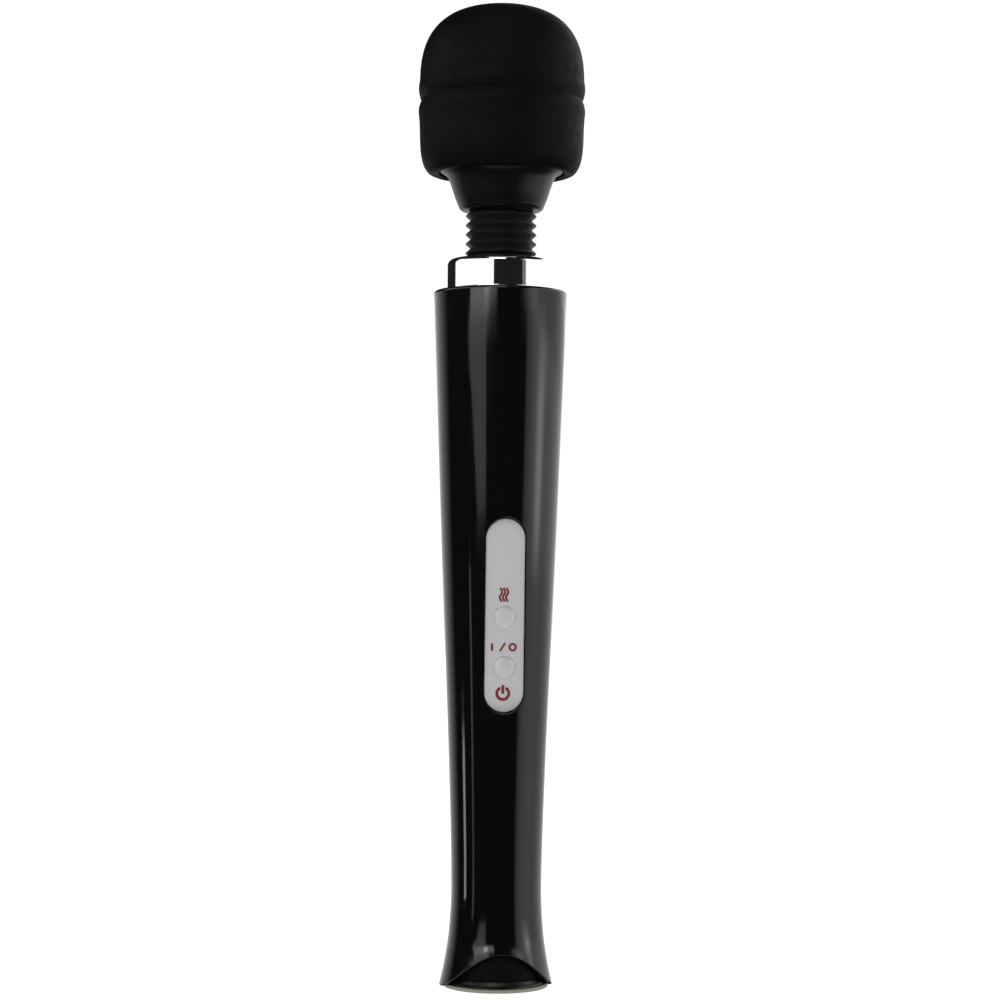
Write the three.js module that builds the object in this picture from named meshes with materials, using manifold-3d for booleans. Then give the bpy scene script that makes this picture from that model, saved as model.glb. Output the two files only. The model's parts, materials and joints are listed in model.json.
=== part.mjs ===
// A cordless handheld wand massager, standing on its base, in millimetres with +Z up.
// The origin is the centre of the base's underside, and the control panel faces -Y.
import * as THREE from 'three';
import { mergeVertices } from 'three/addons/utils/BufferGeometryUtils.js';
import Module from 'manifold-3d';

const wasm = await Module();
wasm.setup();

// ---------- driving dimensions ----------

const GAP = 0.3; // clearance between neighbouring pieces
const WALL = 2; // casing wall

// Handle casing: radius at each height, from the flared base up to the shoulder
const HANDLE_STATIONS = [
  [0, 19.1], [7.9, 17.4], [18, 15.9], [33, 15.15], [76, 16.3], [143, 19.1], [233.3, 22.5],
];
const HANDLE_TOP = 233.3;
const HEM_TIP = 1.1; // height of the casing's lowest points, at its two sides
const HEM_RISE = 11.3; // how far the hem rises to the middle of the front and back
const MOUTH_RADIUS = 16.9; // opening in the casing's shoulder

// Base
const FOOT_RADIUS = 18.6;
const FOOT_THICKNESS = 0.8;
const CORE_RADIUS = 13.2;
const CORE_TOP = 22;
const CORE_FLOOR = 2.6;
const SOCKET_RADIUS = 4.5;
const SOCKET_FACE = 1;
const SOCKET_TOP = 12;

// Control panel: a flat plate, tilted to follow the handle's taper
const PANEL_MIDDLE = 124.3; // height of its centre
const PANEL_DEPTH = 16.45; // distance of its face from the handle's axis
const PANEL_TILT = THREE.MathUtils.degToRad(2.4);
const PANEL_WIDTH = 13.2;
const PANEL_LENGTH = 64.2;
const PANEL_THICKNESS = 1.2;
const POCKET_MARGIN = 0.7;
const POCKET_DEPTH = PANEL_THICKNESS + GAP; // below the plate's face
const PAD_DEPTH = 3.25; // back of the thickened wall behind the pocket, below the plate's face
const PAD_MARGIN = 2;
const BUTTONS = [
  { name: 'mode', z: -0.55, radius: 3.6 },
  { name: 'power', z: -17.1, radius: 3.6 },
];
const BUTTON_GAP = 0.3;
const BUTTON_DOME = 0.6; // how far a button's crown stands above the plate
const BUTTON_SKIRT = 0.6; // how far its rim reaches below the plate's face
const STEM_RADIUS = 1.6;
const STEM_END = 4.1;
const SWITCH_SIZE = 6;
const SWITCH_FACE = 5;
const SWITCH_BACK = 7.5;
const BOARD_FACE = SWITCH_BACK + GAP;
const BOARD_THICKNESS = 1.2;
const BOARD_WIDTH = 16;
const BOARD_LENGTH = 56;
const POST_RADIUS = 2.2;
const POSTS = [[6, 22], [-6, -24]]; // board posts, across and along the panel

// Batteries
const CELL_RADIUS = 7.1;
const CELL_LENGTH = 50;
const CELL_SET_BACK = 2.5; // offset of the cells' axis towards the rear
const CELL_BOTTOMS = { battery_cell_lower: 34, battery_cell_upper: 86 };
const TRAY_BOTTOM = 31.5;
const TRAY_TOP = 138.5;
const TRAY_WALL = 1.5;

// Motor
const MOTOR_RADIUS = 13.8;
const MOTOR_BOTTOM = 190;
const MOTOR_TOP = 224;
const END_CAP_BOTTOM = 184.3;
const MOTOR_SHAFT_RADIUS = 1.6;
const MOTOR_SHAFT_TOP = 237;

// Neck
const RING_RADIUS = 17.97;
const RING_BOTTOM = HANDLE_TOP + GAP;
const RING_TOP = 244;
const RING_HOLE = 12.1;
const BELLOWS_BOTTOM = 244.6;
const BELLOWS_TOP = 260.4;
const BELLOWS_FOLDS = 5;
const BELLOWS_PEAK = 12;
const BELLOWS_VALLEY = 10.25;
const BELLOWS_FLANGE = 13.7; // the thin rim that lies on the ring
const BELLOWS_WALL = 1;
const SPRING_RADIUS = 7.2; // to the middle of its wire
const SPRING_WIRE = 0.9;
const SPRING_BOTTOM = 242.6;
const SPRING_TOP = 260.9;
const SPRING_TURNS = 5;
const COUPLING_BOTTOM = 232;
const COUPLING_TOP = 270;

// Head
const CONE_BOTTOM = 260.6;
const CONE_FLANGE_RADIUS = 20.9;
const CONE_FLANGE_TOP = 277.2;
const HEAD_RADIUS = 27.85;
const HEAD_TOP = 330;
const DOME_BASE = 303; // height where the dome starts
const DOME_POWER = 2.8; // superellipse exponent of the dome
const COVER_WALL = 2.6;
const CORE_SHELL_RADIUS = HEAD_RADIUS - COVER_WALL - 0.4;
const HEAD_SPLIT = 297; // height where the two core shells meet
const HEAD_FLOOR = 277.5; // underside of the lower core shell
const BEARING_RADIUS = 8;
const BEARING_HEIGHT = 5;
const BEARING_BOTTOMS = { bearing_lower: 280.2, bearing_upper: 312.2 };
const ECCENTRIC_SHAFT_RADIUS = 2.5;

// Facets round a full turn: outside surfaces, inner pieces and small pieces
const OUTSIDE = 32;
const INSIDE = 16;
const SMALL = 8;
const WIRE_SIDES = 6;

// ---------- materials ----------

function finish(color, roughness, metalness = 0) {
  return new THREE.MeshStandardMaterial({ color, roughness, metalness });
}

const SILICONE = finish(0x121214, 0.6);
const GLOSS_BLACK = finish(0x08080a, 0.12);
const MATTE_BLACK = finish(0x161618, 0.5);
const BELLOWS_RUBBER = finish(0x141412, 0.45);
const CHROME = finish(0xd8dadf, 0.06, 1);
const SILVER = finish(0xadaeae, 0.35, 0.6);
const STEEL = finish(0xa8aaad, 0.35, 1);
const BRASS = finish(0xb08a4a, 0.35, 1);
const COPPER = finish(0xa85a32, 0.4, 1);
const BOARD_GREEN = finish(0x1d5a34, 0.5);
const CELL_WRAP = finish(0x2c5c9c, 0.3);
const LEAD_RED = finish(0x9c1a14, 0.5);

// ---------- geometry helpers ----------

const group = new THREE.Group();

// Names a piece, gives it its material and adds it to its parent.
function add(name, geometry, material, parent = group) {
  const mesh = new THREE.Mesh(geometry, material);
  mesh.name = name;
  parent.add(mesh);
  return mesh;
}

// Keeps only positions and shared vertices, which makes a closed mesh.
function welded(geometry) {
  const bare = geometry.clone();
  bare.deleteAttribute('normal');
  bare.deleteAttribute('uv');
  return mergeVertices(bare, 1e-4);
}

// Turns an outline of [radius, height] points about +Z. The outline runs counterclockwise.
function turned(outline, segments) {
  const points = outline.map(([radius, height]) => new THREE.Vector2(radius, height));
  return new THREE.LatheGeometry(points, segments).rotateX(Math.PI / 2);
}

// A turned outline that doesn't touch the axis, such as a tube, closed on itself.
function turnedRing(outline, segments) {
  return turned([...outline, outline[0]], segments);
}

// A plain tube or washer.
function tube(inner, outer, bottom, top, segments) {
  return turnedRing([[inner, bottom], [outer, bottom], [outer, top], [inner, top]], segments);
}

// A plain rod.
function rod(radius, bottom, top, segments) {
  return turned([[0, bottom], [radius, bottom], [radius, top], [0, top]], segments);
}

// Points on an arc of an outline, from one angle to another in degrees.
function arc(centreRadius, centreHeight, radius, from, to, steps) {
  const points = [];
  for (let i = 0; i <= steps; i += 1) {
    const angle = THREE.MathUtils.degToRad(from + ((to - from) * i) / steps);
    points.push([centreRadius + radius * Math.cos(angle), centreHeight + radius * Math.sin(angle)]);
  }
  return points;
}

// Extrudes a shape drawn in X and Z, from y = front to y = back.
function extrudedAlongY(shape, front, back) {
  const geometry = new THREE.ExtrudeGeometry(shape, {
    depth: back - front, bevelEnabled: false, curveSegments: 6,
  });
  return geometry.rotateX(Math.PI / 2).translate(0, back, 0);
}

// A rod along Y.
function rodAlongY(radius, front, back, x, z, segments) {
  return rod(radius, front, back, segments).rotateX(-Math.PI / 2).translate(x, 0, z);
}

// A wire or lead along a curve, with a round section. A full circle takes two sides per segment.
function wire(curve, radius, steps) {
  const section = new THREE.Shape();
  section.absarc(0, 0, radius, 0, 2 * Math.PI);
  return new THREE.ExtrudeGeometry(section, {
    steps, curveSegments: WIRE_SIDES / 2, bevelEnabled: false, extrudePath: curve,
  });
}

// A three.js geometry as a manifold-3d solid.
function solid(geometry) {
  const mesh = welded(geometry);
  const index = mesh.index.array;
  const triangles = [];
  for (let i = 0; i < index.length; i += 3) {
    const [a, b, c] = [index[i], index[i + 1], index[i + 2]];
    if (a !== b && b !== c && c !== a) triangles.push(a, b, c);
  }
  return new wasm.Manifold(new wasm.Mesh({
    numProp: 3,
    vertProperties: new Float32Array(mesh.attributes.position.array),
    triVerts: new Uint32Array(triangles),
  }));
}

// A manifold-3d solid as a three.js geometry.
function surface(body) {
  const mesh = body.getMesh();
  const geometry = new THREE.BufferGeometry();
  geometry.setAttribute('position', new THREE.BufferAttribute(mesh.vertProperties, 3));
  geometry.setIndex(new THREE.BufferAttribute(mesh.triVerts, 1));
  return geometry;
}

// One geometry with others cut out of it.
function cut(geometry, ...cutters) {
  return surface(cutters.reduce((body, cutter) => body.subtract(solid(cutter)), solid(geometry)));
}

// ---------- handle casing ----------

// The casing's outside radius at a height: a smooth curve through the stations.
function handleRadius(height) {
  const last = HANDLE_STATIONS.length - 1;
  let i = 0;
  while (i < last - 1 && height > HANDLE_STATIONS[i + 1][0]) i += 1;
  const slope = (k) => {
    const [z0, r0] = HANDLE_STATIONS[Math.max(k - 1, 0)];
    const [z1, r1] = HANDLE_STATIONS[Math.min(k + 1, last)];
    return (r1 - r0) / (z1 - z0);
  };
  const [z0, r0] = HANDLE_STATIONS[i];
  const [z1, r1] = HANDLE_STATIONS[i + 1];
  const span = z1 - z0;
  const t = (height - z0) / span;
  const rise = (3 - 2 * t) * t * t;
  const start = t * (1 - t) * (1 - t) * span * slope(i);
  const end = t * t * (t - 1) * span * slope(i + 1);
  return r0 + (r1 - r0) * rise + start + end;
}

// Heights along the casing, closer together near the flared base.
function casingHeights(bottom, top, count) {
  const heights = [];
  for (let i = 0; i <= count; i += 1) heights.push(bottom + (top - bottom) * (i / count) ** 1.4);
  return heights;
}

function casingOutside() {
  const chamfer = 0.8;
  const side = casingHeights(HEM_TIP, HANDLE_TOP - chamfer, 12).map((z) => [handleRadius(z), z]);
  return [...side, [handleRadius(HANDLE_TOP) - chamfer, HANDLE_TOP]];
}

function casingOutline() {
  const inside = casingHeights(HEM_TIP, HANDLE_TOP - WALL, 7).map((z) => [handleRadius(z) - WALL, z]);
  return [
    ...casingOutside(),
    [MOUTH_RADIUS, HANDLE_TOP],
    [MOUTH_RADIUS, HANDLE_TOP - WALL],
    ...inside.reverse(),
  ];
}

// What is cut away below the hem: it rises to an arch at the front and back.
function belowHem() {
  const reach = FOOT_RADIUS + 2;
  const shape = new THREE.Shape([new THREE.Vector2(-reach, -1), new THREE.Vector2(reach, -1)]);
  const steps = 16;
  for (let i = 0; i <= steps; i += 1) {
    const angle = Math.PI / 2 - (Math.PI * i) / steps;
    const height = HEM_TIP + HEM_RISE * Math.cos(angle) ** 2;
    const across = i % steps === 0 ? reach : handleRadius(height);
    shape.lineTo(across * Math.sin(angle), height);
  }
  return extrudedAlongY(shape, -reach, reach);
}

// A stadium in the panel's plane, as a shape in X and Z.
function stadium(width, length) {
  const radius = width / 2;
  const straight = length / 2 - radius;
  const shape = new THREE.Shape();
  shape.absarc(0, straight, radius, 0, Math.PI);
  shape.absarc(0, -straight, radius, Math.PI, 2 * Math.PI);
  return shape;
}

// From the panel's own frame, whose origin is the middle of the plate's face, to the handle's.
function onPanel(geometry) {
  return geometry.rotateX(PANEL_TILT).translate(0, -PANEL_DEPTH, PANEL_MIDDLE);
}

function casing() {
  const reach = 40;
  const halfBox = new THREE.BoxGeometry(2 * reach, 2 * reach, 2 * HANDLE_TOP + 20);
  const whole = solid(turnedRing(casingOutline(), OUTSIDE)).subtract(solid(belowHem()));
  const frontHalf = whole.subtract(solid(halfBox.clone().translate(0, reach - GAP / 2, 0)));
  const rearHalf = whole.subtract(solid(halfBox.clone().translate(0, -reach + GAP / 2, 0)));

  // The wall is thickened behind the panel, with posts for the board, and then pocketed.
  const filled = solid(turned([[0, HEM_TIP], ...casingOutside(), [0, HANDLE_TOP]], OUTSIDE));
  const padShape = stadium(PANEL_WIDTH + 2 * PAD_MARGIN, PANEL_LENGTH + 2 * PAD_MARGIN);
  const pad = solid(onPanel(extrudedAlongY(padShape, -6, PAD_DEPTH))).intersect(filled);
  const posts = POSTS.map(([x, z]) => (
    solid(onPanel(rodAlongY(POST_RADIUS, PAD_DEPTH - 0.5, BOARD_FACE - GAP, x, z, SMALL)))
  ));
  const pocketShape = stadium(PANEL_WIDTH + 2 * POCKET_MARGIN, PANEL_LENGTH + 2 * POCKET_MARGIN);
  const pocket = solid(onPanel(extrudedAlongY(pocketShape, -8, POCKET_DEPTH)));
  const stemHoles = BUTTONS.map(({ z }) => (
    solid(onPanel(rodAlongY(STEM_RADIUS + 0.6, 0, PAD_DEPTH + 1, 0, z, SMALL)))
  ));
  const screwHoles = POSTS.map(([x, z]) => (
    solid(onPanel(rodAlongY(1.2, PAD_DEPTH, BOARD_FACE, x, z, SMALL)))
  ));
  let front = frontHalf.add(pad);
  for (const post of posts) front = front.add(post);
  for (const cutter of [pocket, ...stemHoles, ...screwHoles]) front = front.subtract(cutter);
  add('front_shell', surface(front), GLOSS_BLACK);
  add('rear_shell', surface(rearHalf), GLOSS_BLACK);
}

// ---------- base ----------

function base() {
  const hole = SOCKET_RADIUS + 0.4;
  add('tail_cap', turnedRing([
    [hole, 0], [FOOT_RADIUS, 0], [FOOT_RADIUS, FOOT_THICKNESS],
    ...arc(16.2, FOOT_THICKNESS + 3, 3, -90, -180, 4),
    [CORE_RADIUS, CORE_TOP], [CORE_RADIUS - 1.5, CORE_TOP],
    [CORE_RADIUS - 1.5, CORE_FLOOR], [hole, CORE_FLOOR],
  ], OUTSIDE), GLOSS_BLACK);

  // The socket has a bore for a barrel plug, with a contact pin in its middle.
  const boreRadius = 2.75;
  const boreEnd = SOCKET_TOP - 2;
  const pinRadius = 0.6;
  add('charging_socket', turned([
    [0, SOCKET_FACE + 1], [pinRadius, SOCKET_FACE + 1], [pinRadius, boreEnd],
    [boreRadius, boreEnd], [boreRadius, SOCKET_FACE],
    [SOCKET_RADIUS, SOCKET_FACE], [SOCKET_RADIUS, SOCKET_TOP], [0, SOCKET_TOP],
  ], INSIDE), MATTE_BLACK);
}

// ---------- control panel ----------

function panel() {
  const frame = new THREE.Group();
  frame.position.set(0, -PANEL_DEPTH, PANEL_MIDDLE);
  frame.rotation.x = PANEL_TILT;
  group.add(frame);

  const plateShape = stadium(PANEL_WIDTH, PANEL_LENGTH);
  for (const { z, radius } of BUTTONS) {
    const hole = new THREE.Path();
    hole.absarc(0, z, radius + BUTTON_GAP, 0, 2 * Math.PI);
    plateShape.holes.push(hole);
  }
  add('panel_plate', extrudedAlongY(plateShape, 0, PANEL_THICKNESS), SILVER, frame);

  for (const { name, z, radius } of BUTTONS) {
    // Turned about +Z with its crown up, then laid along -Y.
    const crown = (share) => [radius * share, BUTTON_DOME * (1 - share * share) + 0.15];
    const button = turned([
      [0, -STEM_END], [STEM_RADIUS, -STEM_END], [STEM_RADIUS, -BUTTON_SKIRT],
      [radius, -BUTTON_SKIRT], crown(1), crown(0.7), crown(0.35), [0, BUTTON_DOME + 0.15],
    ], INSIDE);
    add(`${name}_button`, button.rotateX(Math.PI / 2).translate(0, 0, z), SILVER, frame);

    const body = new THREE.BoxGeometry(SWITCH_SIZE, SWITCH_BACK - SWITCH_FACE, SWITCH_SIZE);
    body.translate(0, (SWITCH_FACE + SWITCH_BACK) / 2, z);
    add(`${name}_switch`, body, MATTE_BLACK, frame);
  }

  const boardBack = BOARD_FACE + BOARD_THICKNESS;
  const board = new THREE.BoxGeometry(BOARD_WIDTH, BOARD_THICKNESS, BOARD_LENGTH);
  board.translate(0, (BOARD_FACE + boardBack) / 2, 0);
  const holes = POSTS.map(([x, z]) => rodAlongY(1.2, BOARD_FACE - 1, boardBack + 1, x, z, SMALL));
  add('control_board', cut(board, ...holes), BOARD_GREEN, frame);

  POSTS.forEach(([x, z], i) => {
    const screw = turned([
      [0, BOARD_FACE - 3], [0.9, BOARD_FACE - 3], [0.9, boardBack + GAP],
      [1.9, boardBack + GAP], [1.9, boardBack + 1.1], [0, boardBack + 1.1],
    ], SMALL);
    add(`board_screw_${i + 1}`, screw.rotateX(-Math.PI / 2).translate(x, 0, z), STEEL, frame);
  });
}

// ---------- batteries and leads ----------

function batteries() {
  const cells = new THREE.Group();
  cells.position.y = CELL_SET_BACK;
  group.add(cells);
  for (const [name, bottom] of Object.entries(CELL_BOTTOMS)) {
    const top = bottom + CELL_LENGTH;
    add(name, turned([
      [0, bottom], [CELL_RADIUS, bottom], [CELL_RADIUS, top - 1],
      [2.6, top - 1], [2.6, top], [0, top],
    ], INSIDE), CELL_WRAP, cells);
  }

  // The tray is a channel open towards the board, with a half-round wall at each end.
  const inner = CELL_RADIUS + GAP;
  const outer = inner + TRAY_WALL;
  const channel = new THREE.Shape();
  channel.absarc(0, 0, outer, 0, Math.PI);
  channel.absarc(0, 0, inner, Math.PI, 0, true);
  const end = new THREE.Shape();
  end.absarc(0, 0, outer, 0, Math.PI);
  const settings = { bevelEnabled: false, curveSegments: 8 };
  const length = TRAY_TOP - TRAY_BOTTOM;
  const wall = (z) => (
    solid(new THREE.ExtrudeGeometry(end, { ...settings, depth: TRAY_WALL }).translate(0, 0, z))
  );
  const tray = solid(new THREE.ExtrudeGeometry(channel, { ...settings, depth: length }))
    .add(wall(0))
    .add(wall(length - TRAY_WALL));
  add('battery_tray', surface(tray), MATTE_BLACK, cells).position.z = TRAY_BOTTOM;
}

function leads() {
  const route = (...points) => (
    new THREE.CatmullRomCurve3(points.map(([x, y, z]) => new THREE.Vector3(x, y, z)))
  );
  const charge = route([0, -3, 12.4], [0, -4.5, 20], [0, -8.6, 34], [0, -9, 60], [0, -7.6, 88], [0, -6.4, 96]);
  add('charge_lead', wire(charge, 1, 16), LEAD_RED);
  const drive = route([3, -9, 153.2], [3.5, -8.8, 162], [5, -8, 173], [6, -7, 183.9]);
  add('motor_lead', wire(drive, 1, 8), LEAD_RED);
}

// ---------- motor ----------

function motor() {
  const canWall = 1.2;
  const faceThickness = 1.6;
  const screwAcross = 8;
  const screwHole = (x, bottom, top) => rod(1.4, bottom, top, SMALL).translate(x, 0, 0);
  const sides = [-screwAcross, screwAcross];

  const can = turnedRing([
    [MOTOR_RADIUS - canWall, MOTOR_BOTTOM], [MOTOR_RADIUS, MOTOR_BOTTOM], [MOTOR_RADIUS, MOTOR_TOP],
    [3.2, MOTOR_TOP], [3.2, MOTOR_TOP - faceThickness],
    [MOTOR_RADIUS - canWall, MOTOR_TOP - faceThickness],
  ], INSIDE);
  add('motor_can', cut(can, ...sides.map((x) => screwHole(x, MOTOR_TOP - 3, MOTOR_TOP + 1))), STEEL);
  add('motor_end_cap', tube(2.2, MOTOR_RADIUS, END_CAP_BOTTOM, MOTOR_BOTTOM - GAP, INSIDE), MATTE_BLACK);
  add('motor_armature', tube(MOTOR_SHAFT_RADIUS + GAP, 11.4, 194, 216, INSIDE), COPPER);
  add('motor_shaft', rod(MOTOR_SHAFT_RADIUS, END_CAP_BOTTOM + 1, MOTOR_SHAFT_TOP, SMALL), STEEL);
  add('motor_sleeve', tube(MOTOR_RADIUS + GAP, 18.2, 196, 210, INSIDE), BELLOWS_RUBBER);

  // The lower bush carries the neck's spring, and the motor is screwed to its underside.
  const bushBottom = MOTOR_TOP + GAP;
  const discTop = bushBottom + 3;
  const bush = turnedRing([
    [4.2, bushBottom], [14.8, bushBottom], [14.8, discTop], [10.1, discTop],
    [10.1, 241.2], [4.2, 241.2],
  ], INSIDE);
  const headPockets = sides.map((x) => rod(2.6, discTop - 1.2, 242, SMALL).translate(x, 0, 0));
  const shanks = sides.map((x) => screwHole(x, bushBottom - 1, discTop));
  add('lower_neck_bush', cut(bush, ...headPockets, ...shanks), MATTE_BLACK);
  sides.forEach((x, i) => {
    const headBottom = discTop - 1.2 + GAP;
    const screw = turned([
      [0, MOTOR_TOP - 2.6], [1.1, MOTOR_TOP - 2.6], [1.1, headBottom],
      [2.2, headBottom], [2.2, headBottom + 1.4], [0, headBottom + 1.4],
    ], SMALL);
    add(`motor_screw_${i + 1}`, screw.translate(x, 0, 0), STEEL);
  });
}

// ---------- neck ----------

// The bellows' folds: a wave between valleys and rounded peaks, shifted inwards by a thickness.
function foldOutline(thickness) {
  const points = [];
  const pitch = (BELLOWS_TOP - BELLOWS_BOTTOM) / BELLOWS_FOLDS;
  for (let i = 0; i <= 2 * BELLOWS_FOLDS; i += 1) {
    const radius = i % 2 === 0 ? BELLOWS_VALLEY : BELLOWS_PEAK;
    points.push([radius - thickness, BELLOWS_BOTTOM + (pitch * i) / 2]);
  }
  return points;
}

function neck() {
  // The ring is a cap over the casing's mouth, with a spigot that fits inside it.
  const spigotBottom = 226.5;
  const spigotInner = 15.2;
  const spigotOuter = MOUTH_RADIUS - GAP;
  const shoulder = 2;
  add('chrome_ring', turnedRing([
    [spigotInner, spigotBottom], [spigotOuter, spigotBottom], [spigotOuter, RING_BOTTOM],
    [RING_RADIUS, RING_BOTTOM],
    ...arc(RING_RADIUS - shoulder, RING_TOP - shoulder, shoulder, 0, 90, 4),
    [RING_HOLE, RING_TOP], [RING_HOLE, RING_TOP - 2.6], [spigotInner, RING_TOP - 2.6],
  ], OUTSIDE), CHROME);

  // A collar below the folds passes through the ring, and one above them enters the cone.
  const collarOuter = RING_HOLE - GAP;
  const collarInner = collarOuter - 1.3;
  const flangeBottom = RING_TOP + GAP - 0.1;
  add('neck_bellows', turnedRing([
    [collarInner, 238], [collarOuter, 238], [collarOuter, flangeBottom],
    [BELLOWS_FLANGE, flangeBottom], [BELLOWS_FLANGE, flangeBottom + 0.3],
    ...foldOutline(0),
    [BELLOWS_VALLEY, 264], [BELLOWS_VALLEY - BELLOWS_WALL, 264],
    ...foldOutline(BELLOWS_WALL).reverse(), [collarInner, 243.4],
  ], 24), BELLOWS_RUBBER);

  class Helix extends THREE.Curve {
    getPoint(t, target = new THREE.Vector3()) {
      const angle = 2 * Math.PI * SPRING_TURNS * t;
      const height = SPRING_BOTTOM + (SPRING_TOP - SPRING_BOTTOM) * t;
      return target.set(SPRING_RADIUS * Math.cos(angle), SPRING_RADIUS * Math.sin(angle), height);
    }
  }
  add('neck_spring', wire(new Helix(), SPRING_WIRE, 10 * SPRING_TURNS), STEEL);

  // The coupling is a tube of closely wound wire, which shows as ridges along it.
  const ridges = 8;
  const pitch = (COUPLING_TOP - COUPLING_BOTTOM) / ridges;
  const wound = [];
  for (let i = 0; i < ridges; i += 1) {
    wound.push([3.3, COUPLING_BOTTOM + pitch * i], [3.6, COUPLING_BOTTOM + pitch * (i + 0.5)]);
  }
  add('drive_coupling', turnedRing([
    [2.9, COUPLING_BOTTOM], ...wound, [3.3, COUPLING_TOP], [2.9, COUPLING_TOP],
  ], SMALL), STEEL);
}

// ---------- head ----------

// The dome of the head or of a layer inside it, from its widest circle up to the axis.
function dome(inset, steps, innerRadius = 0) {
  const radius = HEAD_RADIUS - inset;
  const height = HEAD_TOP - DOME_BASE - inset;
  const points = [];
  for (let i = 0; i < steps; i += 1) {
    const angle = (Math.PI / 2) * (i / steps);
    const across = radius * Math.cos(angle) ** (2 / DOME_POWER);
    const up = height * Math.sin(angle) ** (2 / DOME_POWER);
    if (across > innerRadius) points.push([across, DOME_BASE + up]);
  }
  return points;
}

function head() {
  // The cover: a rolled lower lip, two raised bands with a groove between them, and the dome.
  const lipInner = 21.3;
  const coverInner = HEAD_RADIUS - COVER_WALL;
  add('massage_head_cover', turned([
    [0, HEAD_TOP - COVER_WALL],
    ...dome(COVER_WALL, 5).reverse(),
    [coverInner, 277.2], [lipInner, 275.8], [lipInner, 273.4],
    ...arc(22.2, 278.7, 5.4, -75, 0, 5),
    [27.75, 286], [27.85, 292], [28.2, 293.1], [28.2, 294.6], [27.55, 296.8], [27.55, 298.9],
    [28.2, 301.1], [28.2, 302.2],
    ...dome(0, 9).slice(1),
    [0, HEAD_TOP],
  ], OUTSIDE), SILICONE);

  // The hard core: a cup below, and a dome with a bearing seat above.
  const outer = CORE_SHELL_RADIUS;
  const inner = outer - WALL;
  const seatRadius = BEARING_RADIUS + GAP;
  const hubRadius = seatRadius + 1.8;
  const floorTop = HEAD_FLOOR + WALL;
  const lowerSeatTop = BEARING_BOTTOMS.bearing_lower + BEARING_HEIGHT;
  const screwAngles = [90, 210, 330];
  const screwCircle = 17.5;
  const atScrews = (make) => screwAngles.map((degrees) => {
    const angle = THREE.MathUtils.degToRad(degrees);
    return make().translate(screwCircle * Math.cos(angle), screwCircle * Math.sin(angle), 0);
  });
  const lower = turnedRing([
    [4.2, HEAD_FLOOR], [outer, HEAD_FLOOR], [outer, HEAD_SPLIT - GAP], [inner, HEAD_SPLIT - GAP],
    [inner, floorTop], [hubRadius, floorTop], [hubRadius, lowerSeatTop], [seatRadius, lowerSeatTop],
    [seatRadius, floorTop], [4.2, floorTop],
  ], INSIDE);
  const screwHoles = atScrews(() => rod(1.4, HEAD_FLOOR - 3, floorTop + 1, SMALL));
  add('head_shell_lower', cut(lower, ...screwHoles), MATTE_BLACK);

  const upperSeatBottom = BEARING_BOTTOMS.bearing_upper - 0.5;
  const upperSeatTop = BEARING_BOTTOMS.bearing_upper + BEARING_HEIGHT + 0.5;
  const coreInset = HEAD_RADIUS - outer;
  add('head_shell_upper', turned([
    [0, upperSeatTop], [seatRadius, upperSeatTop], [seatRadius, upperSeatBottom],
    [hubRadius, upperSeatBottom],
    ...dome(coreInset + WALL, 5, hubRadius).reverse(),
    [inner, HEAD_SPLIT], [outer, HEAD_SPLIT],
    ...dome(coreInset, 5),
    [0, HEAD_TOP - coreInset],
  ], INSIDE), MATTE_BLACK);

  for (const [name, bottom] of Object.entries(BEARING_BOTTOMS)) {
    const bore = ECCENTRIC_SHAFT_RADIUS + GAP;
    add(name, tube(bore, BEARING_RADIUS, bottom, bottom + BEARING_HEIGHT, INSIDE), STEEL);
  }

  // The cone: rounded at the bottom, flaring at the top into a flange under the head.
  const cone = turnedRing([
    [10.8, CONE_BOTTOM],
    ...arc(12.7, CONE_BOTTOM + 2, 2, -90, -15, 3),
    [15.95, 266], [17.35, 270], [18.1, 272.2], [19, 274], [CONE_FLANGE_RADIUS, 275],
    [CONE_FLANGE_RADIUS, CONE_FLANGE_TOP], [15.4, CONE_FLANGE_TOP],
    [15.4, 271.5], [13.2, 265], [12.2, 263.2], [10.8, 263.2],
  ], OUTSIDE);
  const blindHoles = atScrews(() => rod(1.4, 275.9, CONE_FLANGE_TOP + 1, SMALL));
  add('neck_cone', cut(cone, ...blindHoles), GLOSS_BLACK);
  atScrews(() => turned([
    [0, 276.2], [1.1, 276.2], [1.1, floorTop + GAP], [2.2, floorTop + GAP],
    [2.2, floorTop + 1.6], [0, floorTop + 1.6],
  ], SMALL)).forEach((screw, i) => add(`head_screw_${i + 1}`, screw, STEEL));

  // The upper bush takes the top of the neck's spring and carries it to the head's core.
  add('upper_neck_bush', turnedRing([
    [4.4, 262.1], [8.8, 262.1], [8.8, 264.8], [12, 264.8], [12, 266.8],
    [8, 266.8], [8, CONE_FLANGE_TOP], [4.4, CONE_FLANGE_TOP],
  ], INSIDE), MATTE_BLACK);
}

function eccentric() {
  add('eccentric_shaft', rod(ECCENTRIC_SHAFT_RADIUS, 266, 316.6, SMALL), STEEL);
  const weightRadius = 16;
  const hubRadius = 5.5;
  const shape = new THREE.Shape();
  shape.absarc(0, 0, weightRadius, -Math.PI / 2, Math.PI / 2);
  shape.absarc(0, 0, hubRadius, Math.PI / 2, (3 * Math.PI) / 2);
  const bore = new THREE.Path();
  bore.absarc(0, 0, ECCENTRIC_SHAFT_RADIUS + GAP, 0, 2 * Math.PI);
  shape.holes.push(bore);
  const weight = new THREE.ExtrudeGeometry(shape, { depth: 14, bevelEnabled: false, curveSegments: 8 });
  add('eccentric_weight', weight.translate(0, 0, 290), BRASS);
}

casing();
base();
panel();
batteries();
leads();
motor();
neck();
head();
eccentric();

export default group;
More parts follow.
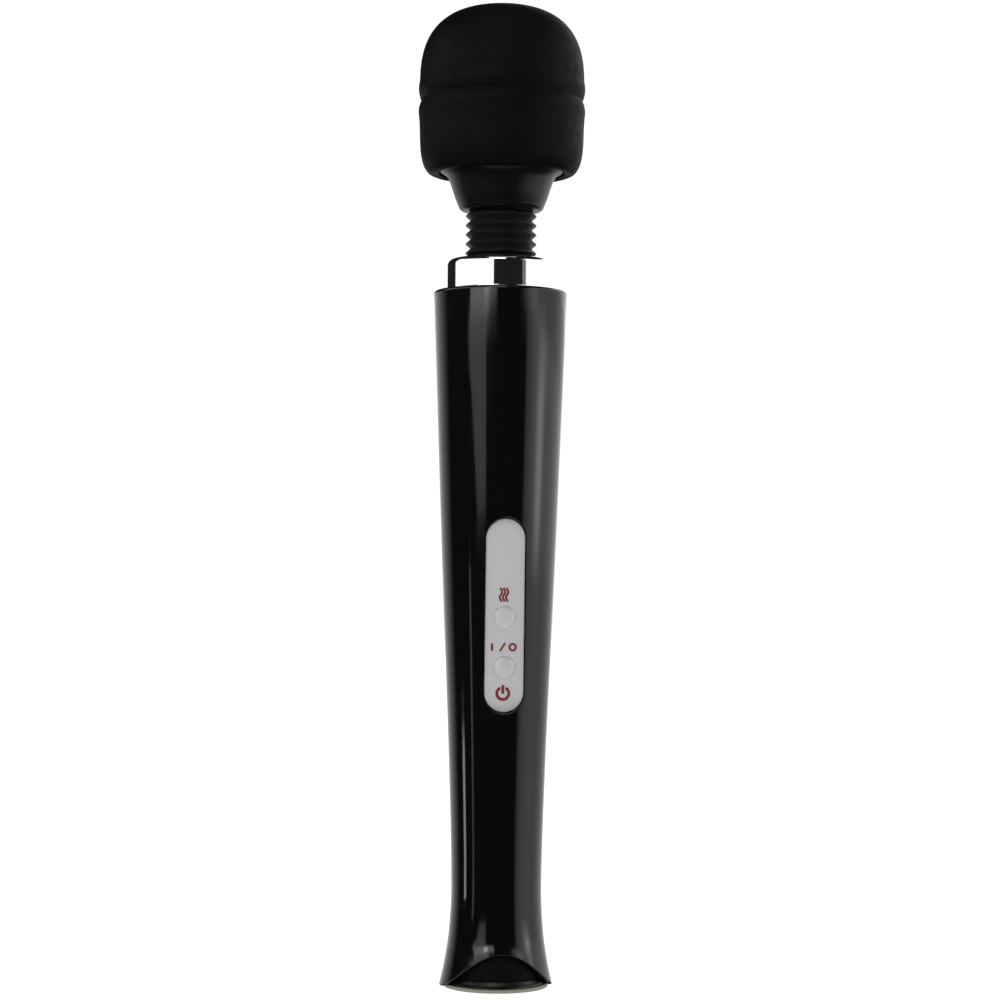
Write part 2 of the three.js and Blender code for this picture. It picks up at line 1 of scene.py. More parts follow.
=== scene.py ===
"""The looks of a cordless handheld wand massager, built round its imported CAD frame.

Lengths are in millimetres until place() and the mesh makers turn them into Blender's metres.
+Z is up the wand, the control panel faces -Y, and the origin is the middle of the base's underside.
"""

import json
import math

import bpy
import numpy as np
from mathutils import Matrix, Vector


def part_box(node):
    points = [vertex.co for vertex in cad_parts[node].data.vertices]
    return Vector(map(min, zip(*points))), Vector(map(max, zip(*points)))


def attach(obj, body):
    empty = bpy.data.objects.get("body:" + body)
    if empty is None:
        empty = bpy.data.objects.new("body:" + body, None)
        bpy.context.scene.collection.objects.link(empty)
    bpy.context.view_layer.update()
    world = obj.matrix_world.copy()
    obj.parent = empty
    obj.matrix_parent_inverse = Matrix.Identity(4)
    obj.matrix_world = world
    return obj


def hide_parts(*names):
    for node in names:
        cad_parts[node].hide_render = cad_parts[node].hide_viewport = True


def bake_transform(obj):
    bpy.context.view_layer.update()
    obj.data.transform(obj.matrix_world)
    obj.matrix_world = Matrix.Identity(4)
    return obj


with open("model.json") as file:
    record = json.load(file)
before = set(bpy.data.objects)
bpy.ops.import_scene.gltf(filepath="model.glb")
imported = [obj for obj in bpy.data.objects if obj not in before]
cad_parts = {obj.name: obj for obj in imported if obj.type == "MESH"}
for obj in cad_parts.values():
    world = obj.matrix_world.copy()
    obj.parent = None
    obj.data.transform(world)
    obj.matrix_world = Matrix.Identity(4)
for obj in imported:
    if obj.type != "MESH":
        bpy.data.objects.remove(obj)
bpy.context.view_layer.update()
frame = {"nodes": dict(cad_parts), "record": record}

MM = 0.001
TURN = 192  # facets round the outside surfaces
SMALL_TURN = 96  # facets round the buttons and inner edges


def extent(node):
    """A CAD node's lowest and highest corners, in millimetres."""
    low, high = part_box(node)
    return Vector(low) / MM, Vector(high) / MM


# ---------- sizes from the frame ----------

COVER_HIGH = extent("massage_head_cover")[1]
CONE_LOW, CONE_HIGH = extent("neck_cone")
COUPLING_LOW, COUPLING_HIGH = extent("drive_coupling")
RING_LOW, RING_HIGH = extent("chrome_ring")
SHELL_HIGH = extent("front_shell")[1]
FOOT_HIGH = extent("tail_cap")[1]
PLATE_LOW, PLATE_HIGH = extent("panel_plate")
MODE_LOW, MODE_HIGH = extent("mode_button")
POWER_LOW, POWER_HIGH = extent("power_button")
BELLOWS_LOW, BELLOWS_HIGH = extent("neck_bellows")
SOCKET_LOW, SOCKET_HIGH = extent("charging_socket")

WALL = 2.0
SEAM = 0.06  # half the gap between the two casing halves
HEM_TIP = 0.3
HEM_RISE = 12.1
CASING_TOP = SHELL_HIGH.z
MOUTH_RADIUS = 16.9
HANDLE_STATIONS = (
    (0, 19.1), (7.9, 17.4), (18, 15.9), (33, 15.15), (76, 16.3), (143, 19.1), (233.3, 22.5),
)

PANEL_TILT = math.radians(2.4)
PANEL_WIDTH = PLATE_HIGH.x - PLATE_LOW.x
PANEL_THICKNESS = 1.2
PANEL_MIDDLE = 124.3
PANEL_DEPTH = 16.45
PANEL_LENGTH = 64.2
POCKET_FLOOR = 1.5
PAD_BACK = 3.25
BUTTON_RADII = {
    "mode_button": (MODE_HIGH.x - MODE_LOW.x) / 2,
    "power_button": (POWER_HIGH.x - POWER_LOW.x) / 2,
}
BUTTON_PLACES = {"mode_button": -0.55, "power_button": -17.1}

BELLOWS_BOTTOM = 244.6
BELLOWS_TOP = 260.4
BELLOWS_FOLDS = 5
BELLOWS_PEAK = 12.0
BELLOWS_VALLEY = 10.25
BELLOWS_WALL = 1.0

HEAD_RADIUS = 27.85
HEAD_TOP = COVER_HIGH.z
DOME_BASE = 303.0
DOME_POWER = 2.66
COVER_WALL = 2.6


# ---------- mesh helpers ----------


def mesh_object(name, points, faces):
    """A mesh object from points in millimetres."""
    mesh = bpy.data.meshes.new(name)
    mesh.from_pydata([tuple(c * MM for c in p) for p in points], [], faces)
    mesh.validate()
    mesh.update()
    made = bpy.data.objects.new(name, mesh)
    bpy.context.scene.collection.objects.link(made)
    return made


def smoothed(made, degrees=35):
    """Smooth shading, kept sharp at edges that turn more than this."""
    made.data.shade_smooth()
    made.data.set_sharp_from_angle(angle=math.radians(degrees))
    return made


def arc(centre_r, centre_z, radius, start, stop, steps=8):
    """Points on an arc of an outline, between two angles in degrees."""
    angles = np.radians(np.linspace(start, stop, steps + 1))
    return [(centre_r + radius * math.cos(a), centre_z + radius * math.sin(a)) for a in angles]


def rounded(corners, closed=False, steps=5):
    """An outline whose corners (x, y, radius) are rounded where they have a radius."""
    count = len(corners)
    outline = []
    for i, corner in enumerate(corners):
        at = Vector(corner[:2])
        radius = corner[2] if len(corner) > 2 else 0
        ends = not closed and i in (0, count - 1)
        if not radius or ends:
            outline.append(tuple(at))
            continue
        before = (Vector(corners[i - 1][:2]) - at).normalized()
        after = (Vector(corners[(i + 1) % count][:2]) - at).normalized()
        half = before.angle(after) / 2
        middle = at + (before + after).normalized() * (radius / math.sin(half))
        start = at + before * (radius / math.tan(half)) - middle
        stop = at + after * (radius / math.tan(half)) - middle
        sweep = start.angle_signed(stop)
        for k in range(steps + 1):
            turn = Matrix.Rotation(-sweep * k / steps, 2)
            outline.append(tuple(middle + turn @ start))
    return outline


def revolve(name, outline, closed=False, segments=TURN):
    """A solid of revolution about +Z. An open outline starts and ends on the axis."""
    angles = 2 * math.pi * np.arange(segments) / segments
    points, rows = [], []
    for radius, height in outline:
        if radius < 1e-6:
            rows.append([len(points)] * segments)
            points.append((0, 0, height))
            continue
        rows.append(list(range(len(points), len(points) + segments)))
        points += [(radius * math.sin(a), -radius * math.cos(a), height) for a in angles]
    if closed:
        rows.append(rows[0])
    faces = []
    for low, high in zip(rows, rows[1:]):
        for i in range(segments):
            j = (i + 1) % segments
            corners = [low[i], low[j], high[j], high[i]]
            face = [c for k, c in enumerate(corners) if c != corners[k - 1]]
            if len(set(face)) > 2:
                faces.append(face)
    return smoothed(mesh_object(name, points, faces))


def boolean(made, cutter, operation="DIFFERENCE"):
    """Cuts or joins one closed mesh with another, which is then removed."""
    modifier = made.modifiers.new("cut", "BOOLEAN")
    modifier.operation = operation
    modifier.solver = "EXACT"
    modifier.object = cutter
    bpy.context.view_layer.update()
    result = bpy.data.meshes.new_from_object(made.evaluated_get(bpy.context.evaluated_depsgraph_get()))
    made.modifiers.clear()
    made.data = result
    bpy.data.objects.remove(cutter)
    return made


def flat_shape(name, loops, front, back, bevel=0.0):
    """A plate from closed loops in the panel's plane, between two depths. Later loops are holes."""
    curve = bpy.data.curves.new(name, "CURVE")
    curve.dimensions = "2D"
    curve.fill_mode = "BOTH"
    for loop in loops:
        spline = curve.splines.new("POLY")
        spline.points.add(len(loop) - 1)
        for point, (x, z) in zip(spline.points, loop):
            point.co = (x * MM, z * MM, 0, 1)
        spline.use_cyclic_u = True
    curve.extrude = (back - front) / 2 * MM - bevel * MM
    curve.bevel_depth = bevel * MM
    curve.bevel_resolution = 3
    curve.offset = -bevel * MM
    holder = bpy.data.objects.new(name, curve)
    bpy.context.scene.collection.objects.link(holder)
    bpy.context.view_layer.update()
    mesh = bpy.data.meshes.new_from_object(holder.evaluated_get(bpy.context.evaluated_depsgraph_get()))
    bpy.data.objects.remove(holder)
    mesh.materials.clear()
    # The curve's plane is XY with its normal along Z: stand it up to face -Y.
    stand = Matrix.Rotation(math.pi / 2, 4, "X")
    mesh.transform(Matrix.Translation((0, (front + back) / 2 * MM, 0)) @ stand)
    made = bpy.data.objects.new(name, mesh)
    bpy.context.scene.collection.objects.link(made)
    weld(made)
    return smoothed(made, 40)


def weld(made, distance=0.0005):
    """Merges the points that a curve's caps and sides both have."""
    modifier = made.modifiers.new("weld", "WELD")
    modifier.merge_threshold = distance * MM
    bpy.context.view_layer.update()
    made.data = bpy.data.meshes.new_from_object(made.evaluated_get(bpy.context.evaluated_depsgraph_get()))
    made.modifiers.clear()


def circle(x, z, radius, steps=SMALL_TURN):
    angles = 2 * math.pi * np.arange(steps) / steps
    return [(x + radius * math.cos(a), z + radius * math.sin(a)) for a in angles]


def stadium(width, length, steps=32):
    radius = width / 2
    straight = length / 2 - radius
    return arc(0, straight, radius, 0, 180, steps) + arc(0, -straight, radius, 180, 360, steps)


PANEL_PLACE = (
    Matrix.Translation((0, -PANEL_DEPTH * MM, PANEL_MIDDLE * MM)) @ Matrix.Rotation(PANEL_TILT, 4, "X")
)


def on_panel(made):
    """Moves a mesh from the panel's frame, whose origin is the middle of the plate's face."""
    made.data.transform(PANEL_PLACE)
    return made


def finish_piece(made, body, slot, material, *nodes):
    """Gives a piece its material and body, and hides the CAD nodes that it stands for; its slot is not used.
    """
    made.data.materials.clear()
    made.data.materials.append(material)
    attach(made, body)
    if nodes:
        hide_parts(*nodes)
    return made


# ---------- materials ----------


class Nodes:
    """A material's node tree, with short ways to add what the materials below share."""

    def __init__(self, name):
        self.material = bpy.data.materials.new(name)
        self.material.use_nodes = True
        self.tree = self.material.node_tree
        self.shader = self.tree.nodes["Principled BSDF"]
        self.place = self.add("ShaderNodeTexCoord").outputs["Object"]

    def add(self, kind, **values):
        node = self.tree.nodes.new(kind)
        for key, value in values.items():
            setattr(node, key, value)
        return node

    def link(self, source, target):
        self.tree.links.new(source, target)

    def noise(self, scale, detail=4.0, stretch=None, place=None):
        """Noise with this many features to the metre, stretched along an axis if asked."""
        texture = self.add("ShaderNodeTexNoise")
        texture.inputs["Scale"].default_value = scale
        texture.inputs["Detail"].default_value = detail
        start = place or self.place
        if stretch:
            mapping = self.add("ShaderNodeMapping")
            mapping.inputs["Scale"].default_value = stretch
            self.link(start, mapping.inputs["Vector"])
            start = mapping.outputs["Vector"]
        self.link(start, texture.inputs["Vector"])
        return texture.outputs["Fac"]

    def ramp(self, source, low, high, start=0.3, stop=0.7):
        """Maps a factor to a range of values."""
        span = self.add("ShaderNodeMapRange")
        for key, value in (("From Min", start), ("From Max", stop), ("To Min", low), ("To Max", high)):
            span.inputs[key].default_value = value
        self.link(source, span.inputs["Value"])
        return span.outputs["Result"]

    def blend(self, source, low, high):
        """Mixes two colours by a factor."""
        mix = self.add("ShaderNodeMix", data_type="RGBA")
        mix.inputs["A"].default_value = (*low, 1)
        mix.inputs["B"].default_value = (*high, 1)
        self.link(source, mix.inputs["Factor"])
        return mix.outputs["Result"]

    def colour(self, source):
        self.link(source, self.shader.inputs["Base Color"])

    def roughness(self, source):
        self.link(source, self.shader.inputs["Roughness"])

    def bump(self, source, height_mm, strength=1.0, under=None):
        """Raises the surface by a texture, by up to this height."""
        bump = self.add("ShaderNodeBump")
        bump.inputs["Strength"].default_value = strength
        bump.inputs["Distance"].default_value = height_mm * MM
        self.link(source, bump.inputs["Height"])
        if under:
            self.link(under, bump.inputs["Normal"])
        self.link(bump.outputs["Normal"], self.shader.inputs["Normal"])
        return bump.outputs["Normal"]

    def set(self, **values):
        for key, value in values.items():
            self.shader.inputs[key.replace("_", " ")].default_value = value


def silicone():
    """Soft-touch silicone: dead matte, with a fine grain and faint handling marks."""
    n = Nodes("silicone")
    n.colour(n.blend(n.noise(90, 5), (0.0024, 0.0024, 0.0029), (0.0040, 0.0040, 0.0047)))
    n.roughness(n.ramp(n.noise(260, 6), 0.50, 0.64))
    n.bump(n.noise(4200, 3), 0.012, 0.35, n.bump(n.noise(900, 4), 0.01, 0.2))
    n.set(IOR=1.4, Specular_IOR_Level=0.11)
    return n.material


def gloss_black():
    """Polished black plastic, with the faint unevenness that a moulded surface has."""
    n = Nodes("gloss_black")
    n.colour(n.blend(n.noise(20), (0.0022, 0.0022, 0.0026), (0.0030, 0.0030, 0.0034)))
    n.roughness(n.ramp(n.noise(140, 5), 0.05, 0.085))
    n.bump(n.noise(70, 2), 0.01, 0.12)
    n.set(IOR=1.5)
    return n.material


def satin_black():
    """The same plastic with a satin surface, which softens what it reflects."""
    n = Nodes("satin_black")
    n.colour(n.blend(n.noise(60), (0.0022, 0.0022, 0.0025), (0.0034, 0.0034, 0.0038)))
    n.roughness(n.ramp(n.noise(300, 5), 0.33, 0.40))
    n.bump(n.noise(3000, 3), 0.006, 0.25)
    n.set(IOR=1.5)
    return n.material


def bellows_rubber():
    n = Nodes("bellows_rubber")
    n.colour(n.blend(n.noise(250), (0.0052, 0.005, 0.0042), (0.0066, 0.0063, 0.0053)))
    n.roughness(n.ramp(n.noise(500, 5), 0.42, 0.48))
    n.bump(n.noise(2600, 3), 0.004, 0.12)
    n.set(IOR=1.5)
    return n.material


def chrome():
    n = Nodes("chrome")
    n.colour(n.blend(n.noise(40), (0.74, 0.75, 0.78), (0.80, 0.81, 0.83)))
    n.roughness(n.ramp(n.noise(900, 6, (1, 1, 6)), 0.03, 0.06))
    n.bump(n.noise(60, 1), 0.004, 0.2)
    n.set(Metallic=1.0)
    return n.material


def panel_silver():
    """Silver lacquer with a fine metallic grain."""
    n = Nodes("panel_silver")
    n.colour(n.blend(n.noise(5200, 2), (0.53, 0.532, 0.535), (0.60, 0.602, 0.605)))
    n.roughness(n.ramp(n.noise(700, 5), 0.34, 0.48))
    n.bump(n.noise(5200, 2), 0.006, 0.25)
    n.set(Metallic=0.15, IOR=1.5)
    return n.material


def rim_grey():
    """The foot's rim: a grey strip, lighter than the black foot, its tone varied at random."""
    n = Nodes("rim_grey")
    n.colour(n.blend(n.noise(350, 5), (0.22, 0.215, 0.18), (0.32, 0.31, 0.27)))
    n.roughness(n.ramp(n.noise(900, 5), 0.4, 0.6))
    n.bump(n.noise(2600, 3), 0.01, 0.4)
    return n.material


def recess_black():
    """The dull inside of the base, which no polish reaches."""
    n = Nodes("recess_black")
    n.colour(n.blend(n.noise(300), (0.0018, 0.0018, 0.002), (0.003, 0.003, 0.0034)))
    n.roughness(n.ramp(n.noise(700, 4), 0.6, 0.75))
    n.bump(n.noise(2600, 3), 0.012, 0.4)
    n.set(Specular_IOR_Level=0.12)
    return n.material


def panel_ink():
    """Dark red print."""
    n = Nodes("panel_ink")
    n.colour(n.blend(n.noise(1500), (0.17, 0.014, 0.018), (0.23, 0.02, 0.025)))
    n.roughness(n.ramp(n.noise(2400, 3), 0.45, 0.6))
    return n.material


def matte_black():
    n = Nodes("matte_black")
    n.colour(n.blend(n.noise(400), (0.012, 0.012, 0.013), (0.02, 0.02, 0.022)))
    n.roughness(n.ramp(n.noise(900, 5), 0.45, 0.6))
    n.bump(n.noise(3000, 3), 0.015, 0.4)
    return n.material


def turned_metal(name, low, high):
    """Turned metal, with fine rings round the wand's axis."""
    n = Nodes(name)
    grain = n.noise(600, 5, (0.05, 0.05, 8))
    n.colour(n.blend(grain, low, high))
    n.roughness(n.ramp(grain, 0.25, 0.42))
    n.bump(grain, 0.004, 0.4)
    n.set(Metallic=1.0)
    return n.material


def copper_windings():
    n = Nodes("copper_windings")
    wave = n.add("ShaderNodeTexWave", wave_type="BANDS", bands_direction="Z")
    wave.inputs["Scale"].default_value = 420
    wave.inputs["Distortion"].default_value = 0.6
    n.link(n.place, wave.inputs["Vector"])
    n.colour(n.blend(wave.outputs["Fac"], (0.32, 0.1, 0.035), (0.72, 0.3, 0.14)))
    n.roughness(n.ramp(wave.outputs["Fac"], 0.3, 0.45))
    n.bump(wave.outputs["Fac"], 0.15)
    n.set(Metallic=1.0)
    return n.material


def board_green():
    """Circuit board: lacquered green, with copper traces under the lacquer."""
    n = Nodes("board_green")
    bricks = n.add("ShaderNodeTexBrick")
    bricks.inputs["Scale"].default_value = 220
    bricks.inputs["Mortar Size"].default_value = 0.08
    bricks.inputs["Color1"].default_value = (0.012, 0.07, 0.03, 1)
    bricks.inputs["Color2"].default_value = (0.016, 0.085, 0.036, 1)
    bricks.inputs["Mortar"].default_value = (0.06, 0.2, 0.08, 1)
    mapping = n.add("ShaderNodeMapping")
    mapping.inputs["Rotation"].default_value = (math.pi / 2, 0, 0)
    n.link(n.place, mapping.inputs["Vector"])
    n.link(mapping.outputs["Vector"], bricks.inputs["Vector"])
    n.colour(bricks.outputs["Color"])
    n.roughness(n.ramp(n.noise(500), 0.25, 0.4))
    n.bump(bricks.outputs["Fac"], 0.03)
    return n.material


def wrapped(name, low, high):
    """Smooth coloured film or insulation."""
    n = Nodes(name)
    n.colour(n.blend(n.noise(80), low, high))
    n.roughness(n.ramp(n.noise(300, 5), 0.25, 0.4))
    n.bump(n.noise(200, 3), 0.02, 0.3)
    return n.material


MATERIALS = {
    "silicone": silicone(),
    "gloss_black": gloss_black(),
    "bellows_rubber": bellows_rubber(),
    "chrome": chrome(),
    "panel_silver": panel_silver(),
    "matte_black": matte_black(),
    "steel": turned_metal("turned_steel", (0.42, 0.43, 0.45), (0.6, 0.61, 0.63)),
    "brass": turned_metal("turned_brass", (0.5, 0.33, 0.11), (0.72, 0.5, 0.2)),
    "copper": copper_windings(),
    "board_green": board_green(),
    "cell_wrap": wrapped("cell_wrap", (0.02, 0.07, 0.24), (0.03, 0.1, 0.32)),
    "lead_red": wrapped("lead_red", (0.22, 0.006, 0.005), (0.32, 0.012, 0.01)),
}
INK = panel_ink()
SATIN = satin_black()
RIM = rim_grey()
RECESS = recess_black()


def dress_cad_nodes():
    """The CAD nodes that stay, which are inside, get the material of their record slot."""
    slots = {part["node"]: part["material_slot"] for part in frame["record"]["subparts"]}
    for name, node in frame["nodes"].items():
        node.data.materials.clear()
        node.data.materials.append(MATERIALS[slots[name]])


# ---------- head ----------


def dome(inset=0.0, steps=40):
    """The dome's outline from its widest circle up to the axis: a superellipse."""
    radius = HEAD_RADIUS - inset
    height = HEAD_TOP - DOME_BASE - inset
    points = []
    for i in range(steps + 1):
        angle = math.pi / 2 * i / steps
        across = radius * max(math.cos(angle), 0) ** (2 / DOME_POWER)
        up = height * math.sin(angle) ** (2 / DOME_POWER)
        points.append((0 if i == steps else across, DOME_BASE + up))
    return points


def smooth_curve(stations, steps):
    """A smooth outline through stations, by a Catmull-Rom spline."""
    ends = [stations[0], *stations, stations[-1]]
    outline = []
    for before, start, stop, after in zip(ends, ends[1:], ends[2:], ends[3:]):
        p0, p1, p2, p3 = (np.array(p, float) for p in (before, start, stop, after))
        for k in range(steps):
            t = k / steps
            curve = 2 * p1 + (p2 - p0) * t + (2 * p0 - 5 * p1 + 4 * p2 - p3) * t**2
            curve = curve + (3 * p1 - p0 - 3 * p2 + p3) * t**3
            outline.append(tuple(curve / 2))
    outline.append(tuple(stations[-1]))
    return outline


def head_cover():
    """A rolled lower lip, two raised bands with a groove between them, and the dome."""
    lip_inner = 21.3
    cover_inner = HEAD_RADIUS - COVER_WALL
    outside = smooth_curve([
        (22.0, 272.95), (23.3, 272.95), (24.7, 273.5), (25.75, 274.7), (26.5, 276.2), (27.02, 278.0),
        (27.42, 280.4), (27.68, 284), (27.82, 289), (28.0, 291.8), (28.2, 293.7), (28.12, 295.3),
        (27.72, 296.8), (27.3, 297.8), (27.66, 298.8), (28.02, 300.3), (28.2, 301.7), (28.1, 303.1),
        (27.86, 304.5),
    ], 6)
    above = [p for p in dome() if p[1] > 305.2]
    inside = [p for p in dome(COVER_WALL, 24)][::-1]
    outline = [(0, inside[0][1]), *inside[1:], (cover_inner, 277.2), (lip_inner, 275.8), (lip_inner, 273.4)]
    made = revolve("soft_head_cover", outline + outside + above)
    return finish_piece(made, "head", "silicone", MATERIALS["silicone"], "massage_head_cover")


def neck_cone():
    """The cone is rounded at the bottom and flares at the top into a flange under the head."""
    bottom = CONE_LOW.z
    flange = CONE_HIGH.x
    flare = smooth_curve([
        (14.42, 262.0), (15.05, 263.5), (15.8, 265.5), (16.45, 267.5), (17.15, 269.6),
        (17.85, 271.4), (18.7, 272.6), (19.6, 273.3), (flange - 0.3, 273.7),
    ], 8)
    outline = [
        (10.8, bottom + 0.3), (11.1, bottom), *arc(12.6, bottom + 1.9, 1.9, -90, -18, 10), *flare,
        (flange, 274.0), (flange, CONE_HIGH.z), (15.4, CONE_HIGH.z), (15.4, 271.5), (13.2, 265),
        (12.2, 263.2), (10.8, 263.2),
    ]
    made = revolve("gloss_neck_cone", outline, closed=True)
    return finish_piece(made, "head", "gloss_black", SATIN, "neck_cone")


# ---------- neck ----------


def fold_outline(first, last, thickness, steps=14):
    """The bellows' folds between two heights: even slopes between rounded crests and sharp valleys."""
    pitch = (BELLOWS_TOP - BELLOWS_BOTTOM) / BELLOWS_FOLDS
    crest = 0.1  # how blunt the crests are, as a share of half a fold
    hollow = 1.1  # above 1, the slopes between them are a little hollow
    depth = BELLOWS_PEAK - BELLOWS_VALLEY
    if thickness:
        depth /= 1.25  # the inside's folds are shallower
    points = []
    for height in np.linspace(first, last, steps * round((last - first) / pitch * 2) + 1):
        share = (height - BELLOWS_BOTTOM) / pitch % 1
        from_crest = abs(2 * share - 1)
        sharp = 1 - math.sqrt(from_crest**2 + crest**2) + crest
        points.append((BELLOWS_VALLEY - thickness + depth * max(sharp, 0) ** hollow, float(height)))
    return points


def bellows():
    """Two sleeves that meet between folds: two folds below and three above."""
    pitch = (BELLOWS_TOP - BELLOWS_BOTTOM) / BELLOWS_FOLDS
    split = BELLOWS_BOTTOM + 2 * pitch
    collar_outer = 11.8
    collar_inner = 10.5
    flange_bottom = RING_HIGH.z + 0.15
    flange = BELLOWS_HIGH.x
    hidden = 3  # how many of the lowest fold's points are inside the flange
    inner_low = fold_outline(BELLOWS_BOTTOM, split, BELLOWS_WALL)[::-1]
    lower = revolve("bellows_lower", [
        (collar_inner, BELLOWS_LOW.z), (collar_outer, BELLOWS_LOW.z), (collar_outer, flange_bottom),
        *arc(flange - 0.15, flange_bottom + 0.15, 0.15, -90, 90, 6), (BELLOWS_PEAK, BELLOWS_BOTTOM + 0.1),
        *fold_outline(BELLOWS_BOTTOM, split, 0)[hidden:], *inner_low, (collar_inner, 243.4),
    ], closed=True)
    inner_high = fold_outline(split, BELLOWS_TOP, BELLOWS_WALL)[::-1]
    upper = revolve("bellows_upper", [
        *fold_outline(split, BELLOWS_TOP, 0), (BELLOWS_VALLEY, BELLOWS_HIGH.z),
        (BELLOWS_VALLEY - BELLOWS_WALL, BELLOWS_HIGH.z), *inner_high,
    ], closed=True)
    for made in (lower, upper):
        made.data.materials.append(MATERIALS["bellows_rubber"])
    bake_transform(lower)
    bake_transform(upper)
    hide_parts("neck_bellows")
    return lower, upper


def wound_tube(name, bottom, top):
    """A tube of closely wound wire, which shows as ridges along it."""
    pitch = 1.9
    inner, valley, crest = COUPLING_HIGH.x - 0.7, COUPLING_HIGH.x - 0.3, COUPLING_HIGH.x
    turns = round((top - bottom) / pitch)
    steps = 8  # to a turn
    wires = []
    for i in range(turns * steps + 1):
        height = bottom + (top - bottom) * i / (turns * steps)
        wires.append((valley + (crest - valley) * abs(math.sin(math.pi * i / steps)), height))
    inside = [(inner, float(z)) for z in np.linspace(top, bottom, turns * 3)]
    return revolve(name, wires + inside, closed=True, segments=48)


def drive_coupling():
    """The flexible coupling: a wound tube in two lengths, with a plain sleeve where they meet."""
    split = 251.7
    inner, outer = COUPLING_HIGH.x + 0.05, COUPLING_HIGH.x + 0.5
    low, high = split - 0.8, split + 0.8
    sleeve_outline = [(inner, low), (outer, low), (outer, high), (inner, high)]
    sleeve = revolve("coupling_sleeve", sleeve_outline, closed=True, segments=48)
    finish_piece(sleeve, "drive_coupling", "steel", MATERIALS["steel"], "drive_coupling")
    lower = wound_tube("coupling_lower", COUPLING_LOW.z, split)
    upper = wound_tube("coupling_upper", split, COUPLING_HIGH.z)
    for made in (lower, upper):
        made.data.materials.append(MATERIALS["steel"])
    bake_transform(lower)
    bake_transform(upper)


def chrome_ring():
    """A polished cap with a rounded shoulder, and the spigot inside the casing's mouth.

    The two bare points on its side keep the shading of the straight wall apart from the round corners'.
    """
    radius, top = RING_HIGH.x, RING_HIGH.z
    bottom = CASING_TOP + 0.12
    hole, spigot_inner, spigot_outer, lid = 12.1, 15.2, 16.6, 2.6
    outline = rounded([
        (spigot_inner, RING_LOW.z), (spigot_outer, RING_LOW.z), (spigot_outer, bottom),
        (radius, bottom, 0.35), (radius, bottom + 0.6), (radius, top - 2.2), (radius, top, 2.0),
        (hole, top, 0.3), (hole, top - lid), (spigot_inner, top - lid),
    ], closed=True, steps=10)
    made = revolve("polished_ring", outline, closed=True)
    return finish_piece(made, "handle", "chrome", MATERIALS["chrome"], "chrome_ring")


# ---------- handle casing ----------


def handle_radius(height):
    """The casing's outside radius at a height: a smooth curve through the stations."""
    last = len(HANDLE_STATIONS) - 1
    i = 0
    while i < last - 1 and height > HANDLE_STATIONS[i + 1][0]:
        i += 1

    def slope(k):
        (z0, r0), (z1, r1) = HANDLE_STATIONS[max(k - 1, 0)], HANDLE_STATIONS[min(k + 1, last)]
        return (r1 - r0) / (z1 - z0)

    (z0, r0), (z1, r1) = HANDLE_STATIONS[i], HANDLE_STATIONS[i + 1]
    span = z1 - z0
    t = (height - z0) / span
    rise = (3 - 2 * t) * t * t
    return r0 + (r1 - r0) * rise + span * (t * (1 - t) ** 2 * slope(i) + t * t * (t - 1) * slope(i + 1))


def hem_height(angle):
    """The hem's height at an angle from the front: an arch at the front and at the back."""
    return HEM_TIP + HEM_RISE * math.cos(angle) ** 2


def casing_loop(angle, inset, behind_panel):
    """The closed outline of the casing's wall at one angle from its own middle."""
    hem = hem_height(angle)
    lip, edge, steps = 1.0, 0.35, 150
    heights = hem + edge + (CASING_TOP - lip - hem - edge) * np.linspace(0, 1, steps) ** 1.25
    outside = [(handle_radius(z) - inset, float(z)) for z in heights]
    low = handle_radius(hem + edge) - inset
    shoulder = arc(handle_radius(CASING_TOP - lip) - lip - inset, CASING_TOP - lip, lip, 10, 90, 8)
    hem_edge = arc(low - edge, hem + edge, edge, -90, -15, 5)
    inside = []
    for z in np.linspace(CASING_TOP - WALL, hem + 0.4, 60):
        radius = handle_radius(z) - WALL
        if behind_panel:
            along = (z - PANEL_MIDDLE) / math.cos(PANEL_TILT)
            plane = PANEL_DEPTH + along * math.sin(PANEL_TILT) - PAD_BACK
            across = abs(plane * math.tan(angle))
            if abs(along) < PANEL_LENGTH / 2 + 2 and across < PANEL_WIDTH / 2 + 2:
                radius = min(radius, plane / math.cos(angle))
        inside.append((radius, float(z)))
    mouth = [
        (MOUTH_RADIUS + 0.2, CASING_TOP), (MOUTH_RADIUS, CASING_TOP - 0.2), (MOUTH_RADIUS, CASING_TOP - WALL),
    ]
    return [*hem_edge, *outside, *shoulder, *mouth, *inside, (handle_radius(hem) - WALL, hem)]


def casing_half(name, front):
    """One half of the casing: its wall's outline swept through half a turn, with rounded seam edges."""
    seam_edge = 0.16
    typical = 19.0
    reach = math.pi / 2 - SEAM / typical
    sections = [(-reach + step / typical, inset) for step, inset in ((0, seam_edge), (0.05, 0.045))]
    sweep = np.linspace(-reach + seam_edge / typical, reach - seam_edge / typical, TURN // 2 + 1)
    sections += [(float(a), 0) for a in sweep]
    sections += [(-angle, inset) for angle, inset in sections[1::-1]]
    points, faces = [], []
    for angle, inset in sections:
        loop = casing_loop(angle, inset, front)
        size = len(loop)
        turned = angle if front else angle + math.pi
        points += [(r * math.sin(turned), -r * math.cos(turned), z) for r, z in loop]
    for k in range(len(sections) - 1):
        for i in range(size):
            j = (i + 1) % size
            a, b = k * size, (k + 1) * size
            faces.append((a + i, b + i, b + j, a + j))
    faces.append(tuple(range(size)))
    faces.append(tuple(range(len(points) - 1, len(points) - size - 1, -1)))
    return mesh_object(name, points, faces)


